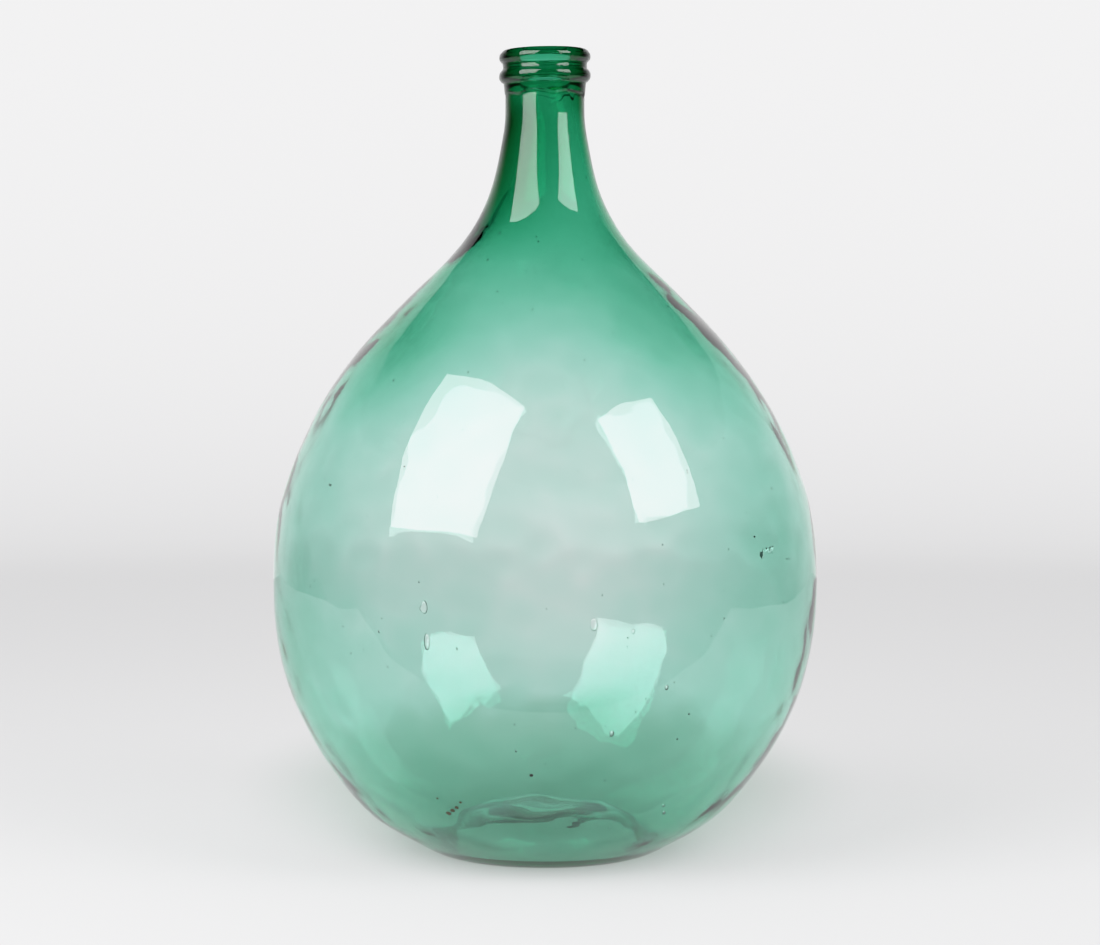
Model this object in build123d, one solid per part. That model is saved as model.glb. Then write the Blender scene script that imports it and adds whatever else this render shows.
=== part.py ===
from build123d import *
import os
from math import hypot

# Large hand-blown green glass carboy: a free-blown body, the glass finish applied round its
# neck end, and the scar ring that the pontil iron leaves inside the push-up.
# Millimetres, +Z up. The origin is the centre of the standing ring, on the ground.

# Overall shape
TOTAL_HEIGHT = 664.0
BELLY_RADIUS = 225.0

# Mouth and neck. The bore is the straight stretch that a bung or a cap seats in.
BORE_RADIUS = 21.0
BORE_LENGTH = 50.0
MOUTH_ROUND = 5.0
NECK_RADIUS = 32.8
NECK_FOOT_HEIGHT = 612.0
NECK_END_HEIGHT = 656.0

# Standing ring and push-up. The ring is worn flat where it meets the ground.
FOOT_INNER_RADIUS = 83.0
FOOT_OUTER_RADIUS = 89.0
HEEL_RADIUS = 106.5
HEEL_HEIGHT = 8.0
CROWN_RADIUS = 46.0
PUSH_UP_HEIGHT = 30.0
PUSH_UP_WALL = 9.0
CROWN_SAG = 1.0
SLOPE_RADIUS = 75.0
SLOPE_HEIGHT = 27.0
TROUGH_RADIUS = 99.0
TROUGH_HEIGHT = 14.0

# Applied finish, from below: a thin skirt on the neck, a collar bead, a groove, a lip ring.
# Each bead and the groove is an arc between two heights, with its own widest or narrowest.
SKIRT_FOOT_HEIGHT = 628.5
SKIRT_EDGE = 0.7
SKIRT_RADIUS = 34.2
COLLAR_FOOT_HEIGHT = 636.2
COLLAR_RADIUS = 38.0
COLLAR_HEIGHT = 641.8
GROOVE_SHOULDER_RADIUS = 35.4
GROOVE_FOOT_HEIGHT = 647.4
GROOVE_RADIUS = 34.8
GROOVE_HEIGHT = 650.3
GROOVE_TOP_HEIGHT = 653.2
LIP_RADIUS = 37.9
LIP_HEIGHT = 657.5
LIP_SHOULDER_RADIUS = 36.6
LIP_SHOULDER_HEIGHT = 661.2
LIP_CREST_RADIUS = 32.5

# Pontil scar: the ring of glass left on the flat crown of the push-up.
SCAR_INNER_RADIUS = 25.0
SCAR_OUTER_RADIUS = 36.0
SCAR_DEPTH = 3.5
SCAR_ROUND = 1.4

# The body's outline from above the heel to the neck: height, outer radius, wall.
# The glass is thick where it was gathered, at the base and the neck, and thinnest where
# it was blown furthest, at the belly.
OUTLINE = [
    (30.0, 142.0, 7.0),
    (70.0, 177.5, 4.4),
    (130.0, 210.0, 3.0),
    (222.0, BELLY_RADIUS, 2.2),
    (290.0, 219.0, 2.0),
    (350.0, 197.5, 2.2),
    (405.0, 163.5, 2.8),
    (460.0, 113.0, 4.2),
    (505.0, 69.0, 6.4),
    (550.0, 44.5, 9.5),
    (588.0, 35.7, 11.3),
]

# Directions in the section, as (outwards, upwards), that its curves leave and arrive along
OUTWARDS = (1.0, 0.0)
INWARDS = (-1.0, 0.0)
UPWARDS = (0.0, 1.0)
DOWNWARDS = (0.0, -1.0)
OFF_THE_RING = (1.0, 0.25)
ONTO_THE_RING = (0.35, -1.0)
OFF_THE_LIP = (-0.55, 1.0)


def smooth(points, start, end):
    """A smooth curve through the points, leaving along start and arriving along end.

    Unit scalars keep the ends as fast as the rest, so that the curve can't overshoot.
    """
    return Spline(*points, tangents=[start, end], tangent_scalars=[1, 1])


def inner_outline(outer):
    """The outline's stations moved inwards by the wall, square to the outline."""
    ends = [(HEEL_RADIUS, HEEL_HEIGHT)] + outer + [(NECK_RADIUS, NECK_FOOT_HEIGHT)]
    moved = []
    for index, (radius, height) in enumerate(outer):
        below = ends[index]
        above = ends[index + 2]
        along_r = above[0] - below[0]
        along_z = above[1] - below[1]
        length = hypot(along_r, along_z)
        wall = OUTLINE[index][2]
        moved.append((radius - wall * along_z / length, height + wall * along_r / length))
    return moved


def blown_body():
    """One gather of glass, blown out: neck, shoulder, belly and pushed-up base."""
    outer = [(radius, height) for height, radius, _ in OUTLINE]
    inner = inner_outline(outer)
    crown_top = PUSH_UP_HEIGHT + PUSH_UP_WALL
    bore_foot = TOTAL_HEIGHT - MOUTH_ROUND - BORE_LENGTH
    trough = (TROUGH_RADIUS, TROUGH_HEIGHT)
    crown_edge = (CROWN_RADIUS, crown_top - CROWN_SAG)
    slope = (SLOPE_RADIUS, SLOPE_HEIGHT)
    foot_inner = (FOOT_INNER_RADIUS, 0.0)
    foot = [(FOOT_OUTER_RADIUS, 0.0), (HEEL_RADIUS, HEEL_HEIGHT)]
    outside = foot + outer + [(NECK_RADIUS, NECK_FOOT_HEIGHT)]
    inside = [trough] + inner + [(BORE_RADIUS, bore_foot)]
    with BuildPart() as body:
        with BuildSketch(Plane.XZ):
            with BuildLine():
                Line((0, PUSH_UP_HEIGHT), (CROWN_RADIUS, PUSH_UP_HEIGHT))
                smooth([(CROWN_RADIUS, PUSH_UP_HEIGHT), foot_inner], OUTWARDS, ONTO_THE_RING)
                Line(foot_inner, (FOOT_OUTER_RADIUS, 0))
                smooth(outside, OFF_THE_RING, UPWARDS)
                Line((NECK_RADIUS, NECK_FOOT_HEIGHT), (NECK_RADIUS, NECK_END_HEIGHT))
                Line((NECK_RADIUS, NECK_END_HEIGHT), (BORE_RADIUS, NECK_END_HEIGHT))
                Line((BORE_RADIUS, NECK_END_HEIGHT), (BORE_RADIUS, bore_foot))
                smooth(inside, OUTWARDS, UPWARDS)
                smooth([(0, crown_top), crown_edge, slope, trough], OUTWARDS, OUTWARDS)
                Line((0, crown_top), (0, PUSH_UP_HEIGHT))
            make_face()
        revolve(axis=Axis.Z)
    return body.part


def applied_finish():
    """A second gather, laid round and over the neck end while hot, and tooled to rings."""
    mouth_foot = TOTAL_HEIGHT - MOUTH_ROUND
    skirt_foot = (NECK_RADIUS + SKIRT_EDGE, SKIRT_FOOT_HEIGHT)
    collar_foot = (SKIRT_RADIUS, COLLAR_FOOT_HEIGHT)
    groove_foot = (GROOVE_SHOULDER_RADIUS, GROOVE_FOOT_HEIGHT)
    groove_top = (GROOVE_SHOULDER_RADIUS, GROOVE_TOP_HEIGHT)
    lip_shoulder = (LIP_SHOULDER_RADIUS, LIP_SHOULDER_HEIGHT)
    crest = (LIP_CREST_RADIUS, TOTAL_HEIGHT)
    with BuildPart() as finish:
        with BuildSketch(Plane.XZ):
            with BuildLine():
                Line((NECK_RADIUS, NECK_END_HEIGHT), (NECK_RADIUS, SKIRT_FOOT_HEIGHT))
                Line((NECK_RADIUS, SKIRT_FOOT_HEIGHT), skirt_foot)
                Line(skirt_foot, collar_foot)
                ThreePointArc(collar_foot, (COLLAR_RADIUS, COLLAR_HEIGHT), groove_foot)
                ThreePointArc(groove_foot, (GROOVE_RADIUS, GROOVE_HEIGHT), groove_top)
                ThreePointArc(groove_top, (LIP_RADIUS, LIP_HEIGHT), lip_shoulder)
                smooth([lip_shoulder, crest], OFF_THE_LIP, INWARDS)
                smooth([crest, (BORE_RADIUS, mouth_foot)], INWARDS, DOWNWARDS)
                Line((BORE_RADIUS, mouth_foot), (BORE_RADIUS, NECK_END_HEIGHT))
                Line((BORE_RADIUS, NECK_END_HEIGHT), (NECK_RADIUS, NECK_END_HEIGHT))
            make_face()
        revolve(axis=Axis.Z)
    return finish.part


def pontil_scar():
    """The broken-off end of the pontil iron's gather, standing down from the crown."""
    with BuildPart() as scar:
        with BuildSketch(Plane.XY.offset(PUSH_UP_HEIGHT)):
            Circle(SCAR_OUTER_RADIUS)
            Circle(SCAR_INNER_RADIUS, mode=Mode.SUBTRACT)
        extrude(amount=-SCAR_DEPTH)
        fillet(scar.edges().group_by(Axis.Z)[0], SCAR_ROUND)
    return scar.part


PIECES = {
    "blown_body": blown_body,
    "applied_finish": applied_finish,
    "pontil_scar": pontil_scar,
}

os.makedirs("parts", exist_ok=True)
for name, make in PIECES.items():
    export_step(make(), f"parts/{name}.step")
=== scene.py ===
"""The looks of the glass carboy: one continuous hand-blown wall of green glass, with the ripple,
seeds and stones of the real thing, on a pale floor, lit by two softboxes.

The glass is worked out in millimetres and made in metres, in the frame of the CAD model, whose
outline it follows. Everything else is in metres. The front faces -Y, and azimuths are degrees
from the front, counted to the right.
"""

import math

import bmesh
import bpy
import numpy as np
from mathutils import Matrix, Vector


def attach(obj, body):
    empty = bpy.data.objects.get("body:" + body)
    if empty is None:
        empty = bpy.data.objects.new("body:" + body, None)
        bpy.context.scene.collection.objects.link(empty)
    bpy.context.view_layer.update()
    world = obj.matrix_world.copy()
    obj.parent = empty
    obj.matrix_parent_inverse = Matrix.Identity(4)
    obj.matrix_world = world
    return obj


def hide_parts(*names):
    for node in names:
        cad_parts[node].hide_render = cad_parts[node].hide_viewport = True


MM = 0.001

# Standing ring, push-up and pontil scar. A pair is a point, as radius and height.
FOOT_INNER = 83.0
FOOT_OUTER = 89.0
HEEL = (106.5, 8.0)
HEEL_WALL = 4.0
CROWN_RADIUS = 46.0
CROWN_UNDER = 30.0
CROWN_OVER = 33.6
CROWN_EDGE = (46.0, 33.0)
SLOPE = (72.0, 22.0)
TROUGH = (94.0, 7.5)
SCAR_INNER = 25.0
SCAR_OUTER = 36.0
SCAR_FOOT = 26.5
SCAR_FLAT_INNER = 30.0
SCAR_FLAT_OUTER = 31.0
SCAR_ROUND = 1.0

# The body from above the heel to the neck: height, outer radius and wall. The outside is the CAD
# model's. Up to the neck the wall is thinner than the model's, as the belly is only faintly green.
OUTLINE = [
    (30.0, 142.0, 3.9),
    (70.0, 177.5, 3.1),
    (130.0, 210.0, 2.0),
    (222.0, 225.0, 0.9),
    (290.0, 219.0, 0.85),
    (350.0, 197.5, 1.05),
    (405.0, 163.5, 1.8),
    (460.0, 113.0, 3.5),
    (505.0, 69.0, 6.1),
    (550.0, 44.5, 9.5),
    (588.0, 35.7, 11.3),
]

# Neck and bore
NECK_FOOT = 612.0
NECK_RADIUS = 32.8
BORE_RADIUS = 21.0
BORE_FOOT = 609.0
BORE_TOP = 659.0

# Applied finish, from below, as radius and height
SKIRT_FOOT = (33.3, 628.5)
COLLAR_FOOT = (34.2, 636.2)
COLLAR = (38.0, 641.8)
GROOVE_FOOT = (35.4, 647.4)
GROOVE = (34.8, 650.3)
GROOVE_TOP = (35.4, 653.2)
LIP = (37.9, 657.5)
LIP_SHOULDER = (36.6, 661.2)
LIP_CREST = (32.5, 664.0)
MOUTH_EDGE = (24.5, 663.4)

# Directions that the section's curves leave and arrive along, as outwards and upwards
OUTWARDS = (1.0, 0.0)
INWARDS = (-1.0, 0.0)
UPWARDS = (0.0, 1.0)
DOWNWARDS = (0.0, -1.0)
OFF_THE_RING = (1.0, 0.25)
ONTO_THE_RING = (0.35, -1.0)
OFF_THE_LIP = (-0.55, 1.0)

# How finely the wall is turned, and what its random draws start from
SEGMENTS = 228
SEED = 11

# Ripple of the outside, and unevenness of the wall, as heights and wavelengths. They set in and
# fade out between these heights.
RIPPLE = [(0.30, 140.0), (0.10, 45.0)]
UNEVEN_WALL = [(0.13, 160.0), (0.07, 40.0), (0.06, 28.0)]
RIPPLE_FROM = (4.0, 40.0)
RIPPLE_UP_TO = (480.0, 600.0)

# The side walls are thicker than front and back by this share between these heights, and so are
# a few patches: azimuth, height, spread in height, share. Their spread round is in radians.
SIDES_THICKER = 1.1
SIDES_FROM = (80.0, 220.0)
SIDES_UP_TO = (420.0, 490.0)
PATCH_SPREAD = 0.28
PATCHES = [
    (50, 275, 60, 1.9),
    (-62, 240, 50, 0.7),
    (-50, 395, 45, 0.7),
    (38, 400, 50, 0.5),
    (140, 210, 60, 0.6),
    (-130, 300, 70, 0.5),
]

# The neck's bore wanders this far to the right of the middle below the finish
BORE_WANDERS = 3.2
WANDERS_FROM = (490.0, 550.0)
WANDERS_UP_TO = (600.0, 630.0)

# The finish's tilt in degrees, and the heights over which the neck takes it up
FINISH_TILT = 1.0
TILT_FROM = (590.0, 640.0)

# The finish's lower edge moves the glass between these heights. It wanders in waves (height,
# number round, start) and runs down in drips (azimuth, drop), whose width is in radians.
EDGE_FROM = (617.0, SKIRT_FOOT[1])
EDGE_UP_TO = (SKIRT_FOOT[1], COLLAR_FOOT[1])
EDGE_WAVES = [(0.9, 3, 0.4), (0.5, 7, 2.0)]
DRIP_WIDTH = 0.16
DRIPS = [(80, 4.0), (12, 1.8), (-40, 1.5), (150, 3.0), (-120, 2.2)]

# Seeds, which are bubbles drawn out upwards: azimuth, height, length, width. Each fills this
# share of the wall.
SEEDS = [
    (-24, 197, 13.0, 5.0),
    (9.5, 212, 10.0, 6.0),
    (17, 206, 4.5, 3.0),
    (25.5, 161, 4.5, 3.0),
    (14, 126, 5.5, 3.5),
    (35, 53, 3.5, 2.5),
    (33, 60, 2.5, 2.0),
    (120, 240, 8.0, 4.0),
    (-150, 180, 10.0, 4.5),
]
SEED_FILLS = 0.8

# Fine seeds: their number, and the ranges of their height, width and stretch. Each fills at most
# this share of the wall.
FINE_SEEDS = 150
FINE_HEIGHTS = (25, 560)
FINE_WIDTHS = (0.6, 1.6)
FINE_STRETCHES = (1, 2.5)
FINE_SEED_FILLS = 0.5

# Unmelted specks in the wall by name: their colour, and each one's azimuth, height and width
SPECKS = {
    "stone_specks": (
        (0.03, 0.026, 0.02),
        [
            (-3, 92, 3.2),
            (31, 138, 1.6),
            (30, 118, 1.4),
            (48, 273, 1.8),
            (-31, 329, 1.6),
            (160, 150, 2.0),
        ],
    ),
    "rust_flecks": (
        (0.16, 0.08, 0.025),
        [(-26.2, 55, 4.6), (-24.9, 58, 4.2), (-23.6, 61, 3.6), (-22.3, 66, 2.4), (-28, 68, 1.8)],
    ),
}

# A speck fills at most this share of the wall, and is this much as tall as it is wide
SPECK_FILLS = 0.6
SPECK_STRETCH = 0.9

# The side wall, where seeds and specks go, is above the first of these heights, and outside the
# trough or above the second. Its slope is taken over a step in height.
ABOVE_FOOT = 1.0
ABOVE_PUSH_UP = 50.0
SLOPE_STEP = 3.0

# Glass: it absorbs red, green and blue light at density times (1 - tint) per metre. Its surface
# has a fine ripple, of this scale, detail and height in metres.
GLASS_IOR = 1.5
GLASS_TINT = (0.0, 0.69, 0.50)
GLASS_DENSITY = 200.0
FINE_RIPPLE_SCALE = 55.0
FINE_RIPPLE_DETAIL = 2.0
FINE_RIPPLE_HEIGHT = 0.00006

# Paper and specks are matt
MATT_ROUGHNESS = 0.9
MATT_SPECULAR = 0.2
PAPER = (0.30, 0.30, 0.305)

# Camera: its distance and height, where it looks, and how far it sees
CAMERA_DISTANCE = 2.285
CAMERA_HEIGHT = 0.4413
CAMERA_AIM = (0.0042, 0.0, 0.3146)
CAMERA_REACH = 50.0
LENS_MM = 90.0
SENSOR_MM = 36.0

# The sweep: a round floor that curves up into a wall. A table lies on it, which the glass mirrors
# as it is. Each is a little lower than the object's foot.
FLOOR_RADIUS = 3.0
WALL_RADIUS = 4.5
WALL_HEIGHT = 3.2
SWEEP_SEGMENTS = 96
SWEEP_LEVEL = -0.0006
TABLE_FRONT = -0.38
TABLE_SIDE = 1.8
TABLE_BACK = 2.4
TABLE_LEVEL = -0.0003

# The paper's own glow by its distance from the object, on the floor and up the wall, and the
# glow of the world round it
FLOOR_GLOW = 0.44
WALL_GLOW = 0.76
GLOW_FROM = 2.4
GLOW_TO = 4.9
GLOW_COLOUR = (1.0, 0.995, 1.0)
WORLD_GLOW = 0.6

# What the glass mirrors of the sweep, by how squarely behind the object it is, as a cosine: the
# backdrop's glow there, and the dark room's everywhere else
MIRRORED_DARK = 0.35
MIRRORED_BRIGHT = 0.9
BACKDROP_GLOW = 0.95
ROOM_GLOW = 0.03

# The green shade of the object on the floor, an ellipse that reaches back from the lights: its
# share of the glow, its centre, its half width and length, and the share of them that is full
SHADE_TINT = (0.33, 0.50, 0.40)
SHADE_CENTRE = 0.38
SHADE_HALF_WIDTH = 0.32
SHADE_HALF_LENGTH = 0.56
SHADE_FULL = 0.38

# Softboxes: centre, aimed-at point, width, height and radiance
SOFTBOXES = {
    "softbox_left": ((-1.0, -0.966, 1.301), (0.0, 0.0, 0.33), 1.27, 1.54, 6.2),
    "softbox_right": ((1.207, -0.917, 1.339), (0.0, 0.0, 0.33), 0.92, 1.17, 6.2),
}

# A ray may pass or be turned back by this many surfaces of glass
MOST_BOUNCES = 32

# The film's shoulder: what each scene brightness is shown as, up to the brightest
BRIGHTEST = 1.6
SHOULDER = [(0.3, 0.3), (0.6, 0.6), (0.8, 0.765), (1.0, 0.88), (1.3, 0.95), (BRIGHTEST, 0.98)]


def cubic(points, start, end, count):
    """A clamped cubic spline through the points, timed by chord, as count points."""
    knots = np.array(points, float)
    steps = np.hypot(*np.diff(knots, axis=0).T)
    times = np.concatenate([[0.0], np.cumsum(steps)])
    size = len(knots)
    matrix = np.zeros((size, size))
    right = np.zeros((size, 2))
    matrix[0, 0] = matrix[-1, -1] = 1.0
    right[0] = np.array(start) / np.hypot(*start)
    right[-1] = np.array(end) / np.hypot(*end)
    for i in range(1, size - 1):
        before, after = steps[i - 1], steps[i]
        matrix[i, i - 1 : i + 2] = (after, 2 * (before + after), before)
        rise = (knots[i + 1] - knots[i]) / after * before
        right[i] = 3 * (rise + (knots[i] - knots[i - 1]) / before * after)
    slopes = np.linalg.solve(matrix, right)
    at = np.linspace(0, times[-1], count)
    cell = np.clip(np.searchsorted(times, at, side="right") - 1, 0, size - 2)
    h = steps[cell][:, None]
    u = ((at - times[cell]) / steps[cell])[:, None]
    return (
        (1 + 2 * u) * (1 - u) ** 2 * knots[cell]
        + u * (1 - u) ** 2 * h * slopes[cell]
        + u**2 * (3 - 2 * u) * knots[cell + 1]
        + u**2 * (u - 1) * h * slopes[cell + 1]
    )


def arc(a, b, c, count):
    """Points on the circle through a, b and c, from a to c."""
    a, b, c = (np.array(p, float) for p in (a, b, c))
    d = 2 * ((a[0] - c[0]) * (b[1] - c[1]) - (b[0] - c[0]) * (a[1] - c[1]))
    from_a = a @ a - c @ c
    from_b = b @ b - c @ c
    centre_x = (from_a * (b[1] - c[1]) - from_b * (a[1] - c[1])) / d
    centre_y = (from_b * (a[0] - c[0]) - from_a * (b[0] - c[0])) / d
    centre = np.array([centre_x, centre_y])
    angles = [math.atan2(*(p - centre)[::-1]) for p in (a, b, c)]
    for i in (1, 2):
        while angles[i] - angles[i - 1] > math.pi:
            angles[i] -= 2 * math.pi
        while angles[i] - angles[i - 1] < -math.pi:
            angles[i] += 2 * math.pi
    sweep = np.linspace(angles[0], angles[2], count)
    radius = np.hypot(*(a - centre))
    return centre + radius * np.column_stack([np.cos(sweep), np.sin(sweep)])


def inner_stations():
    """The outline's stations moved inwards by the wall, square to the outline."""
    stations = [(*HEEL, HEEL_WALL)] + [(radius, height, wall) for height, radius, wall in OUTLINE]
    ends = [(FOOT_OUTER, 0.0)] + [station[:2] for station in stations] + [(NECK_RADIUS, NECK_FOOT)]
    moved = []
    for i, (radius, height, wall) in enumerate(stations):
        along = np.subtract(ends[i + 2], ends[i])
        along = along / np.hypot(*along)
        moved.append((radius - wall * along[1], height + wall * along[0]))
    return moved


def section():
    """The closed section of the wall, from the crown's underside round to its top.

    Returns its points as radius and height, and for each whether it lies on the inner side of
    the wall. The last argument of each stretch is its number of points. Where one stretch starts
    a little beyond the one before, the turned faces bridge the gap.
    """
    line = np.linspace
    under = CROWN_UNDER
    rounded = SCAR_FOOT + SCAR_ROUND
    scar_inner_edge = (SCAR_INNER + 2.5 * SCAR_ROUND, rounded)
    scar_outer_edge = (SCAR_OUTER - 1.5 * SCAR_ROUND, rounded)
    outer = [(FOOT_OUTER, 0.0), HEEL] + [(radius, height) for height, radius, _ in OUTLINE]
    outer += [(NECK_RADIUS, NECK_FOOT)]
    inner = [TROUGH] + inner_stations() + [(BORE_RADIUS, BORE_FOOT)]
    outside = [
        line((0, under), (SCAR_INNER - 1, under), 4),
        arc((SCAR_INNER, under), scar_inner_edge, (SCAR_FLAT_INNER, SCAR_FOOT), 6),
        arc((SCAR_FLAT_OUTER, SCAR_FOOT), scar_outer_edge, (SCAR_OUTER, under), 6),
        line((SCAR_OUTER + 1, under), (CROWN_RADIUS, under), 3),
        cubic([(CROWN_RADIUS, under), (FOOT_INNER, 0)], OUTWARDS, ONTO_THE_RING, 14)[1:],
        line((FOOT_INNER + 1, 0), (FOOT_OUTER, 0), 3),
        cubic(outer, OFF_THE_RING, UPWARDS, 150)[1:],
        line((NECK_RADIUS, NECK_FOOT + 3), (NECK_RADIUS, SKIRT_FOOT[1] - 0.2), 6),
        line(SKIRT_FOOT, COLLAR_FOOT, 6),
        arc(COLLAR_FOOT, COLLAR, GROOVE_FOOT, 14)[1:],
        arc(GROOVE_FOOT, GROOVE, GROOVE_TOP, 6)[1:],
        arc(GROOVE_TOP, LIP, LIP_SHOULDER, 11)[1:],
        cubic([LIP_SHOULDER, LIP_CREST], OFF_THE_LIP, INWARDS, 6)[1:],
    ]
    inside = [
        cubic([LIP_CREST, MOUTH_EDGE, (BORE_RADIUS, BORE_TOP + 1.5)], INWARDS, DOWNWARDS, 9)[1:],
        line((BORE_RADIUS, BORE_TOP - 3), (BORE_RADIUS, BORE_FOOT + 4), 9),
        cubic(inner, OUTWARDS, UPWARDS, 120)[::-1],
        cubic([TROUGH, SLOPE, CROWN_EDGE, (0, CROWN_OVER)], INWARDS, INWARDS, 18)[1:],
    ]
    out, ins = np.concatenate(outside), np.concatenate(inside)
    return np.concatenate([out, ins]), np.arange(len(out) + len(ins)) >= len(out)


def waves(points, wavelength, seed, count=40):
    """A smooth, even ripple over the points, about one wavelength from crest to crest.

    It is many plane waves in random directions, scaled to a standard deviation of one.
    """
    draw = np.random.default_rng(seed)
    directions = draw.normal(size=(count, 3))
    directions /= np.linalg.norm(directions, axis=1)[:, None]
    numbers = 2 * math.pi / wavelength * draw.uniform(0.7, 1.4, count)
    phases = draw.uniform(0, 2 * math.pi, count)
    total = np.zeros(len(points))
    for direction, number, phase in zip(directions, numbers, phases):
        total += np.sin(points @ (direction * number) + phase)
    return total * math.sqrt(2 / count)


def uneven(points, layers, seed):
    """Ripples of several heights and wavelengths, added up."""
    return sum(tall * waves(points, length, seed + i) for i, (tall, length) in enumerate(layers))


def fade(value, span):
    """0 below the span, 1 above it, smooth between."""
    low, high = span
    u = np.clip((value - low) / (high - low), 0, 1)
    return u * u * (3 - 2 * u)


def turned_from(turn, azimuth):
    """How far round each turn is from an azimuth, from -pi to pi. Turns are counted from +X."""
    return (turn - math.radians(azimuth - 90) + math.pi) % (2 * math.pi) - math.pi


def extra_wall(turn, height):
    """How much thicker the wall is at the sides and in the patches."""
    wall = np.interp(height, [station[0] for station in OUTLINE], [station[2] for station in OUTLINE])
    share = SIDES_THICKER * np.cos(turn) ** 2
    share *= fade(height, SIDES_FROM) * (1 - fade(height, SIDES_UP_TO))
    for azimuth, level, spread, more in PATCHES:
        across = turned_from(turn, azimuth) / PATCH_SPREAD
        share += more * np.exp(-(across**2) - ((height - level) / spread) ** 2)
    return wall * share


def with_finish(radius, height, turn, inside):
    """The heights once the finish is tilted, and its lower edge wanders and runs down the neck."""
    wander = sum(tall * np.sin(times * turn + start) for tall, times, start in EDGE_WAVES)
    for azimuth, drop in DRIPS:
        wander -= drop * np.exp(-((turned_from(turn, azimuth) / DRIP_WIDTH) ** 2))
    near = fade(height, EDGE_FROM) * (1 - fade(height, EDGE_UP_TO))
    height = height + np.where(inside, 0, near * wander)
    tilt = math.tan(math.radians(FINISH_TILT))
    return height + fade(height, TILT_FROM) * radius * np.cos(turn) * tilt


def turned_faces(rings):
    """Quads between neighbouring rings, and a fan of triangles round the pole at each end."""
    faces = []
    for ring in range(rings - 1):
        low, high = ring * SEGMENTS, (ring + 1) * SEGMENTS
        for i in range(SEGMENTS):
            j = (i + 1) % SEGMENTS
            faces.append((low + i, low + j, high + j, high + i))
    pole_under, pole_over = rings * SEGMENTS, rings * SEGMENTS + 1
    last = (rings - 1) * SEGMENTS
    for i in range(SEGMENTS):
        j = (i + 1) % SEGMENTS
        faces.append((pole_under, j, i))
        faces.append((pole_over, last + i, last + j))
    return faces


def glass_wall():
    """The section turned about the axis and made uneven, as blown glass is: vertices and faces."""
    stations, inner = section()
    rings = len(stations) - 2
    radius = np.repeat(stations[1:-1, 0], SEGMENTS)
    height = np.repeat(stations[1:-1, 1], SEGMENTS)
    inside = np.repeat(inner[1:-1], SEGMENTS)
    turn = np.tile(np.linspace(0, 2 * math.pi, SEGMENTS, endpoint=False), rings)
    along = np.gradient(stations, axis=0)[1:-1]
    along /= np.hypot(*along.T)[:, None]
    spots = np.column_stack([radius * np.cos(turn), radius * np.sin(turn), height])

    body = fade(height, RIPPLE_FROM) * (1 - fade(height, RIPPLE_UP_TO))
    outward = body * uneven(spots, RIPPLE, SEED)
    thicker = body * (extra_wall(turn, height) - uneven(spots, UNEVEN_WALL, SEED + len(RIPPLE)))
    move = np.where(inside, thicker - outward, outward)
    radius = radius + np.repeat(along[:, 1], SEGMENTS) * move
    height = height - np.repeat(along[:, 0], SEGMENTS) * move
    height = with_finish(radius, height, turn, inside)
    off_centre = BORE_WANDERS * fade(height, WANDERS_FROM) * (1 - fade(height, WANDERS_UP_TO))
    across = radius * np.cos(turn) + np.where(inside, off_centre, 0)
    poles = [(0, 0, stations[0, 1]), (0, 0, stations[-1, 1])]
    verts = np.concatenate([np.column_stack([across, radius * np.sin(turn), height]), poles])
    return verts, turned_faces(rings)


def place_in(verts, azimuth, level):
    """The middle of the wall at an azimuth and height, its inward normal and its thickness."""
    stations, inner = section()
    rings = len(stations) - 2
    column = round((azimuth - 90) / 360 * SEGMENTS) % SEGMENTS
    turn = 2 * math.pi * column / SEGMENTS
    wall = verts[: rings * SEGMENTS].reshape(rings, SEGMENTS, 3)[:, column]
    reach = np.hypot(wall[:, 0], wall[:, 1])
    tall = wall[:, 2]
    clear_of_push_up = (reach > TROUGH[0]) | (tall > ABOVE_PUSH_UP)
    side = (tall > ABOVE_FOOT) & clear_of_push_up & (tall < SKIRT_FOOT[1])
    face = side & ~inner[1:-1]
    back = side & inner[1:-1]
    low, high = np.interp([level, level + SLOPE_STEP], tall[face], reach[face])
    behind = np.interp(level, tall[back][::-1], reach[back][::-1])
    slope = (high - low) / SLOPE_STEP
    depth = (low - behind) / math.hypot(1, slope)
    normal = np.array([-math.cos(turn), -math.sin(turn), slope]) / math.hypot(1, slope)
    face_spot = np.array([low * math.cos(turn), low * math.sin(turn), level])
    return face_spot + normal * depth / 2, normal, depth


def blob(centre, normal, size, rounds, flattened=False):
    """A small ellipsoid with one axis along the normal: its vertices and outward faces.

    Flattened, it has flatter faces and a steeper rim, as a bubble drawn out in a thin wall has.
    """
    side = np.cross((0, 0, 1), normal)
    side /= np.linalg.norm(side)
    up = np.cross(normal, side)
    mesh = bmesh.new()
    bmesh.ops.create_icosphere(mesh, subdivisions=rounds, radius=0.5)
    ball = np.array([v.co[:] for v in mesh.verts])
    faces = [tuple(v.index for v in f.verts) for f in mesh.faces]
    mesh.free()
    if flattened:
        rim = 4 * (ball[:, 0] ** 2 + ball[:, 2] ** 2)
        ball[:, 1] = 0.5 * np.sign(ball[:, 1]) * np.sqrt(np.clip(1 - rim**2, 0, 1))
    axes = np.array([side * size[0], normal * size[1], up * size[2]])
    if np.linalg.det(axes) < 0:
        faces = [face[::-1] for face in faces]
    return centre + ball @ axes, faces


def joined(parts, flip=False):
    """One list of vertices and one of faces from many, with the faces turned over if asked."""
    verts, faces, start = [], [], 0
    for part, sides in parts:
        verts.append(part)
        faces += [tuple(start + i for i in (side[::-1] if flip else side)) for side in sides]
        start += len(part)
    return np.concatenate(verts), faces


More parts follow.
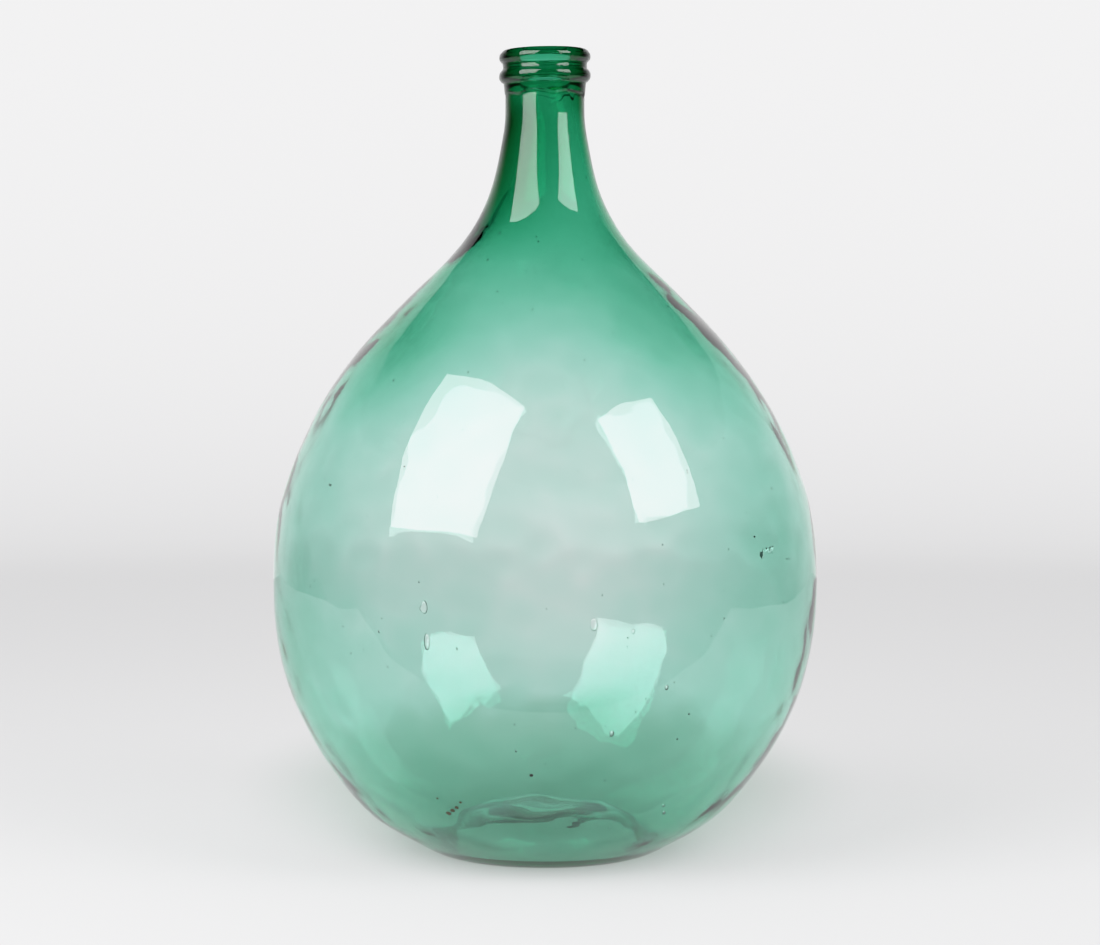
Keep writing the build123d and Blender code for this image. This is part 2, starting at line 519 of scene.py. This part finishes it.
def seeds(verts):
    """Voids in the wall, so their faces are turned inwards."""
    draw = np.random.default_rng(SEED)
    parts = []
    for azimuth, level, tall, wide in SEEDS:
        centre, normal, depth = place_in(verts, azimuth, level)
        parts.append(blob(centre, normal, (wide, SEED_FILLS * depth, tall), rounds=3, flattened=True))
    for _ in range(FINE_SEEDS):
        centre, normal, depth = place_in(verts, draw.uniform(0, 360), draw.uniform(*FINE_HEIGHTS))
        wide = draw.uniform(*FINE_WIDTHS)
        size = (wide, min(wide, FINE_SEED_FILLS * depth), wide * draw.uniform(*FINE_STRETCHES))
        parts.append(blob(centre, normal, size, rounds=1))
    return joined(parts, flip=True)


def specks(verts, places):
    """Unmelted specks, each inside the wall."""
    parts = []
    for azimuth, level, wide in places:
        centre, normal, depth = place_in(verts, azimuth, level)
        size = (wide, min(wide, SPECK_FILLS * depth), SPECK_STRETCH * wide)
        parts.append(blob(centre, normal, size, rounds=2))
    return joined(parts)


def new_object(name, verts, faces, material):
    mesh = bpy.data.meshes.new(name)
    mesh.from_pydata(np.asarray(verts).tolist(), [], faces)
    mesh.update()
    mesh.shade_smooth()
    mesh.materials.append(material)
    piece = bpy.data.objects.new(name, mesh)
    bpy.context.scene.collection.objects.link(piece)
    return piece


def new_material(name):
    """A new material with its shader node."""
    material = bpy.data.materials.new(name)
    material.use_nodes = True
    return material, material.node_tree.nodes["Principled BSDF"]


def add_node(material, kind, values=None, **settings):
    """A new node in a material, with its settings, and with values on its sockets."""
    node = material.node_tree.nodes.new(kind)
    for name, value in settings.items():
        setattr(node, name, value)
    for socket, value in (values or {}).items():
        node.inputs[socket].default_value = value
    return node


def glass_material():
    """Clear, smooth glass, green by what it absorbs, with a fine ripple on its surface."""
    material, shader = new_material("green_glass")
    shader.inputs["Base Color"].default_value = (1, 1, 1, 1)
    shader.inputs["Roughness"].default_value = 0.0
    shader.inputs["IOR"].default_value = GLASS_IOR
    shader.inputs["Transmission Weight"].default_value = 1.0
    place = add_node(material, "ShaderNodeTexCoord")
    fine = {"Scale": FINE_RIPPLE_SCALE, "Detail": FINE_RIPPLE_DETAIL}
    ripple = add_node(material, "ShaderNodeTexNoise", fine)
    bump = add_node(material, "ShaderNodeBump", {"Strength": 1.0, "Distance": FINE_RIPPLE_HEIGHT})
    green = {"Color": (*GLASS_TINT, 1), "Density": GLASS_DENSITY}
    absorb = add_node(material, "ShaderNodeVolumeAbsorption", green)
    link = material.node_tree.links.new
    link(place.outputs["Object"], ripple.inputs["Vector"])
    link(ripple.outputs["Fac"], bump.inputs["Height"])
    link(bump.outputs["Normal"], shader.inputs["Normal"])
    link(absorb.outputs["Volume"], material.node_tree.nodes["Material Output"].inputs["Volume"])
    return material


def matt(name, colour):
    material, shader = new_material(name)
    shader.inputs["Base Color"].default_value = (*colour, 1)
    shader.inputs["Roughness"].default_value = MATT_ROUGHNESS
    shader.inputs["Specular IOR Level"].default_value = MATT_SPECULAR
    return material


def glowing_paper():
    """Pale paper with its own glow: dimmer on the floor, brighter up the wall, green in the shade."""
    material = matt("pale_paper", PAPER)
    shader = material.node_tree.nodes["Principled BSDF"]
    place = add_node(material, "ShaderNodeNewGeometry")
    reach = add_node(material, "ShaderNodeVectorMath", operation="LENGTH")
    glow = {"From Min": GLOW_FROM, "From Max": GLOW_TO, "To Min": FLOOR_GLOW, "To Max": WALL_GLOW}
    ramp = add_node(material, "ShaderNodeMapRange", glow, interpolation_type="SMOOTHSTEP")
    ellipse = {1: (1 / SHADE_HALF_WIDTH, 1 / SHADE_HALF_LENGTH, 1)}
    rounded = add_node(material, "ShaderNodeVectorMath", ellipse, operation="MULTIPLY")
    centre = {1: (0, SHADE_CENTRE / SHADE_HALF_LENGTH, 0)}
    away = add_node(material, "ShaderNodeVectorMath", centre, operation="DISTANCE")
    edge = {"From Min": SHADE_FULL, "From Max": 1.0}
    fall = add_node(material, "ShaderNodeMapRange", edge, interpolation_type="SMOOTHSTEP")
    colours = {"A": (*SHADE_TINT, 1), "B": (*GLOW_COLOUR, 1)}
    tint = add_node(material, "ShaderNodeMix", colours, data_type="RGBA")
    link = material.node_tree.links.new
    link(place.outputs["Position"], reach.inputs[0])
    link(reach.outputs["Value"], ramp.inputs["Value"])
    link(ramp.outputs["Result"], shader.inputs["Emission Strength"])
    link(place.outputs["Position"], rounded.inputs[0])
    link(rounded.outputs["Vector"], away.inputs[0])
    link(away.outputs["Value"], fall.inputs["Value"])
    link(fall.outputs["Result"], tint.inputs["Factor"])
    link(tint.outputs["Result"], shader.inputs["Emission Color"])
    material.cycles.emission_sampling = "NONE"
    return material


def mirrored(paper):
    """The paper as the glass mirrors it: bright straight behind, fading to a dark room at the sides.

    A ray that glass bends also counts as glossy, so only one that isn't transmitted is mirrored.
    """
    material = paper.copy()
    material.name = "pale_paper_mirrored"
    place = add_node(material, "ShaderNodeNewGeometry")
    way = add_node(material, "ShaderNodeVectorMath", operation="NORMALIZE")
    split = add_node(material, "ShaderNodeSeparateXYZ")
    room = {
        "From Min": MIRRORED_DARK,
        "From Max": MIRRORED_BRIGHT,
        "To Min": ROOM_GLOW,
        "To Max": BACKDROP_GLOW,
    }
    ramp = add_node(material, "ShaderNodeMapRange", room, interpolation_type="SMOOTHSTEP")
    seen = add_node(material, "ShaderNodeEmission")
    ray = add_node(material, "ShaderNodeLightPath")
    turned_back = add_node(material, "ShaderNodeMath", operation="SUBTRACT", use_clamp=True)
    either = add_node(material, "ShaderNodeMixShader")
    nodes, link = material.node_tree.nodes, material.node_tree.links.new
    link(place.outputs["Position"], way.inputs[0])
    link(way.outputs["Vector"], split.inputs[0])
    link(split.outputs["Y"], ramp.inputs["Value"])
    link(ramp.outputs["Result"], seen.inputs["Strength"])
    link(ray.outputs["Is Glossy Ray"], turned_back.inputs[0])
    link(ray.outputs["Is Transmission Ray"], turned_back.inputs[1])
    link(turned_back.outputs["Value"], either.inputs["Fac"])
    link(nodes["Principled BSDF"].outputs["BSDF"], either.inputs[1])
    link(seen.outputs["Emission"], either.inputs[2])
    link(either.outputs["Shader"], nodes["Material Output"].inputs["Surface"])
    return material


def sweep_mesh():
    """A round floor that curves up into a wall: its vertices and faces."""
    bend = WALL_RADIUS - FLOOR_RADIUS
    profile = [(radius, 0.0) for radius in np.linspace(0.2, FLOOR_RADIUS, 8)]
    for turn in np.linspace(0, math.pi / 2, 13)[1:]:
        profile.append((FLOOR_RADIUS + bend * math.sin(turn), bend * (1 - math.cos(turn))))
    profile += [(WALL_RADIUS, height) for height in np.linspace(bend + 0.3, WALL_HEIGHT, 4)]
    verts = [(0, 0, 0)]
    for radius, height in profile:
        for i in range(SWEEP_SEGMENTS):
            angle = 2 * math.pi * i / SWEEP_SEGMENTS
            verts.append((radius * math.cos(angle), radius * math.sin(angle), height))
    faces = []
    for i in range(SWEEP_SEGMENTS):
        j = (i + 1) % SWEEP_SEGMENTS
        faces.append((0, 1 + i, 1 + j))
        for ring in range(len(profile) - 1):
            low, high = 1 + ring * SWEEP_SEGMENTS, 1 + (ring + 1) * SWEEP_SEGMENTS
            faces.append((low + i, high + i, high + j, low + j))
    return verts, faces


def stage():
    """A pale floor that curves up into a pale wall all round, and a table under the object."""
    paper = glowing_paper()
    sweep = new_object("studio_sweep", *sweep_mesh(), mirrored(paper))
    sweep.location.z = SWEEP_LEVEL
    corners = [
        (-TABLE_SIDE, TABLE_FRONT, TABLE_LEVEL),
        (TABLE_SIDE, TABLE_FRONT, TABLE_LEVEL),
        (TABLE_SIDE, TABLE_BACK, TABLE_LEVEL),
        (-TABLE_SIDE, TABLE_BACK, TABLE_LEVEL),
    ]
    table = new_object("table_top", corners, [(0, 1, 2, 3)], paper)


def aimed(piece, place, target):
    piece.location = place
    way = Vector(target) - Vector(place)
    piece.rotation_euler = way.to_track_quat("-Z", "Y").to_euler()


def lights():
    for name, (place, target, width, height, radiance) in SOFTBOXES.items():
        light = bpy.data.lights.new(name, "AREA")
        light.shape = "RECTANGLE"
        light.size = width
        light.size_y = height
        light.energy = radiance * width * height * math.pi
        lamp = bpy.data.objects.new(name, light)
        lamp.visible_camera = False
        bpy.context.scene.collection.objects.link(lamp)
        aimed(lamp, place, target)
    world = bpy.data.worlds.new("room")
    world.use_nodes = True
    background = world.node_tree.nodes["Background"]
    background.inputs["Color"].default_value = (1, 1, 1, 1)
    background.inputs["Strength"].default_value = WORLD_GLOW
    bpy.context.scene.world = world
    world.cycles_visibility.glossy = False


def film():
    """Plain colour, with highlights that roll off softly."""
    shown = bpy.context.scene.view_settings
    shown.view_transform = "Standard"
    shown.use_curve_mapping = True
    mapping = shown.curve_mapping
    mapping.white_level = (BRIGHTEST, BRIGHTEST, BRIGHTEST)
    curve = mapping.curves[3]
    for bright, seen in SHOULDER[:-1]:
        curve.points.new(bright / BRIGHTEST, seen)
    curve.points[-1].location = (1.0, SHOULDER[-1][1])
    mapping.update()


def bounces():
    cycles = bpy.context.scene.cycles
    cycles.max_bounces = MOST_BOUNCES
    cycles.transmission_bounces = MOST_BOUNCES
    cycles.glossy_bounces = MOST_BOUNCES


def camera():
    lens = bpy.data.cameras.new("camera")
    lens.lens = LENS_MM
    lens.sensor_width = SENSOR_MM
    lens.clip_end = CAMERA_REACH
    view = bpy.data.objects.new("camera", lens)
    bpy.context.scene.collection.objects.link(view)
    aimed(view, (0, -CAMERA_DISTANCE, CAMERA_HEIGHT), CAMERA_AIM)
    bpy.context.scene.camera = view


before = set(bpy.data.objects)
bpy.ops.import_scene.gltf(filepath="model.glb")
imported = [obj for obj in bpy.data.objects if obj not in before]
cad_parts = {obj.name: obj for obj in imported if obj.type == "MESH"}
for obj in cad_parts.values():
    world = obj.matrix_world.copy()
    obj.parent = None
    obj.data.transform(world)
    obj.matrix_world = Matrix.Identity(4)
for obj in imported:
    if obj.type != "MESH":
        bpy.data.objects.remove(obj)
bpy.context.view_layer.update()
camera()
stage()
lights()
film()
bounces()

wall = glass_wall()
verts, faces = joined([wall, seeds(wall[0])])
glass = new_object("carboy_glass", verts * MM, faces, glass_material())
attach(glass, "root")
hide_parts("blown_body", "applied_finish", "pontil_scar")

for name, (colour, places) in SPECKS.items():
    verts, faces = specks(wall[0], places)
    inclusions = new_object(name, verts * MM, faces, matt(name, colour))
    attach(inclusions, "root")
